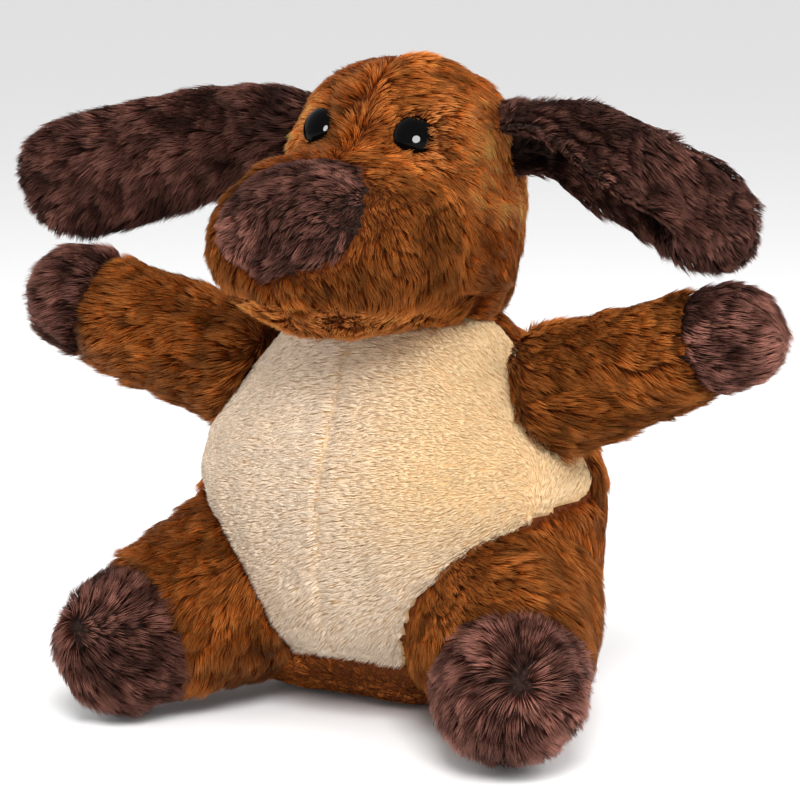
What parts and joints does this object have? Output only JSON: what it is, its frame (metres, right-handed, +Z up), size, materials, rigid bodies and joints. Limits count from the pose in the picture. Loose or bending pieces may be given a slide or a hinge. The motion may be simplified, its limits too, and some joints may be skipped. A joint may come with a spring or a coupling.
{
  "type": "plush toy dog",
  "caption": "Seated stuffed plush dog with long hanging ears, spread arms and legs, a pale belly and black safety eyes.",
  "frame": {"origin": "middle of the flat seat, on the surface that the toy sits on", "axes": "+Z up, the dog faces -Y, +X is the dog's own left side"},
  "size_m": [0.2058, 0.132, 0.1543],
  "materials": {
    "brown_plush": "long-pile plush, soft matt",
    "dark_plush": "long-pile plush, soft matt",
    "cream_plush": "long-pile plush, soft matt",
    "stuffing_fibre": "white polyester fibre",
    "pouch_cloth": "plain woven cloth",
    "label_tape": "satin tape, blank",
    "eye_black": "polished",
    "washer_plastic": "moulded"
  },
  "bodies": {
    "torso": {"belly_panel_left": "cream_plush", "belly_panel_right": "cream_plush", "back_panel_left": "brown_plush", "back_panel_right": "brown_plush", "base_panel": "brown_plush", "torso_stuffing": "stuffing_fibre", "pellet_pouch": "pouch_cloth", "care_label": "label_tape"},
    "neck": {"neck_stuffing": "stuffing_fibre"},
    "head": {"face_panel_left": "brown_plush", "face_panel_right": "brown_plush", "head_back_panel_left": "brown_plush", "head_back_panel_right": "brown_plush", "chin_panel": "brown_plush", "nose_patch": "dark_plush", "head_stuffing": "stuffing_fibre", "eye_left": "eye_black", "eye_right": "eye_black", "eye_washer_left": "washer_plastic", "eye_washer_right": "washer_plastic"},
    "ear_left": {"ear_left_front_panel": "dark_plush", "ear_left_back_panel": "dark_plush", "ear_left_wadding": "stuffing_fibre"},
    "arm_left": {"arm_left_upper_panel": "brown_plush", "arm_left_lower_panel": "brown_plush", "arm_left_paw_panel": "dark_plush", "arm_left_stuffing": "stuffing_fibre"},
    "leg_left": {"leg_left_upper_panel": "brown_plush", "leg_left_lower_panel": "brown_plush", "leg_left_foot_panel": "dark_plush", "leg_left_stuffing": "stuffing_fibre"},
    "ear_right": {"ear_right_front_panel": "dark_plush", "ear_right_back_panel": "dark_plush", "ear_right_wadding": "stuffing_fibre"},
    "arm_right": {"arm_right_upper_panel": "brown_plush", "arm_right_lower_panel": "brown_plush", "arm_right_paw_panel": "dark_plush", "arm_right_stuffing": "stuffing_fibre"},
    "leg_right": {"leg_right_upper_panel": "brown_plush", "leg_right_lower_panel": "brown_plush", "leg_right_foot_panel": "dark_plush", "leg_right_stuffing": "stuffing_fibre"},
    "tail": {"tail_panel": "brown_plush", "tail_stuffing": "stuffing_fibre"}
  },
  "joints": [
    {"name": "neck_turn", "type": "hinge", "parent": "torso", "child": "neck", "pos_m": [0, 0.001, 0.112], "axis": [0, 0, 1], "range_deg": [-25, 25], "stiffness_Nm_per_rad": 0.05},
    {"name": "head_nod", "type": "hinge", "parent": "neck", "child": "head", "pos_m": [0, 0.001, 0.112], "axis": [1, 0, 0], "range_deg": [-8, 8], "stiffness_Nm_per_rad": 0.3},
    {"name": "ear_left_flap", "type": "hinge", "parent": "head", "child": "ear_left", "pos_m": [0.03026, 0.00281, 0.13222], "axis": [-0.0432, 0.0061, -0.999], "range_deg": [-25, 30], "stiffness_Nm_per_rad": 0.01},
    {"name": "ear_right_flap", "type": "hinge", "parent": "head", "child": "ear_right", "pos_m": [-0.02673, 0.01081, 0.13474], "axis": [0.0432, -0.0061, 0.999], "range_deg": [-25, 30], "stiffness_Nm_per_rad": 0.01},
    {"name": "arm_left_swing", "type": "hinge", "parent": "torso", "child": "arm_left", "pos_m": [0.041, -0.003, 0.0775], "axis": [0, 0, -1], "range_deg": [-15, 32], "stiffness_Nm_per_rad": 0.03},
    {"name": "arm_right_swing", "type": "hinge", "parent": "torso", "child": "arm_right", "pos_m": [-0.041, -0.003, 0.0775], "axis": [0, 0, 1], "range_deg": [-15, 32], "stiffness_Nm_per_rad": 0.03},
    {"name": "leg_left_splay", "type": "hinge", "parent": "torso", "child": "leg_left", "pos_m": [0.0343, -0.0175, 0.0276], "axis": [0, 0, 1], "range_deg": [-10, 22], "stiffness_Nm_per_rad": 0.05},
    {"name": "leg_right_splay", "type": "hinge", "parent": "torso", "child": "leg_right", "pos_m": [-0.0343, -0.0175, 0.0276], "axis": [0, 0, -1], "range_deg": [-10, 22], "stiffness_Nm_per_rad": 0.05},
    {"name": "tail_wag", "type": "hinge", "parent": "torso", "child": "tail", "pos_m": [0, 0.0432, 0.022], "axis": [0, 0, 1], "range_deg": [-30, 30], "stiffness_Nm_per_rad": 0.01}
  ]
}
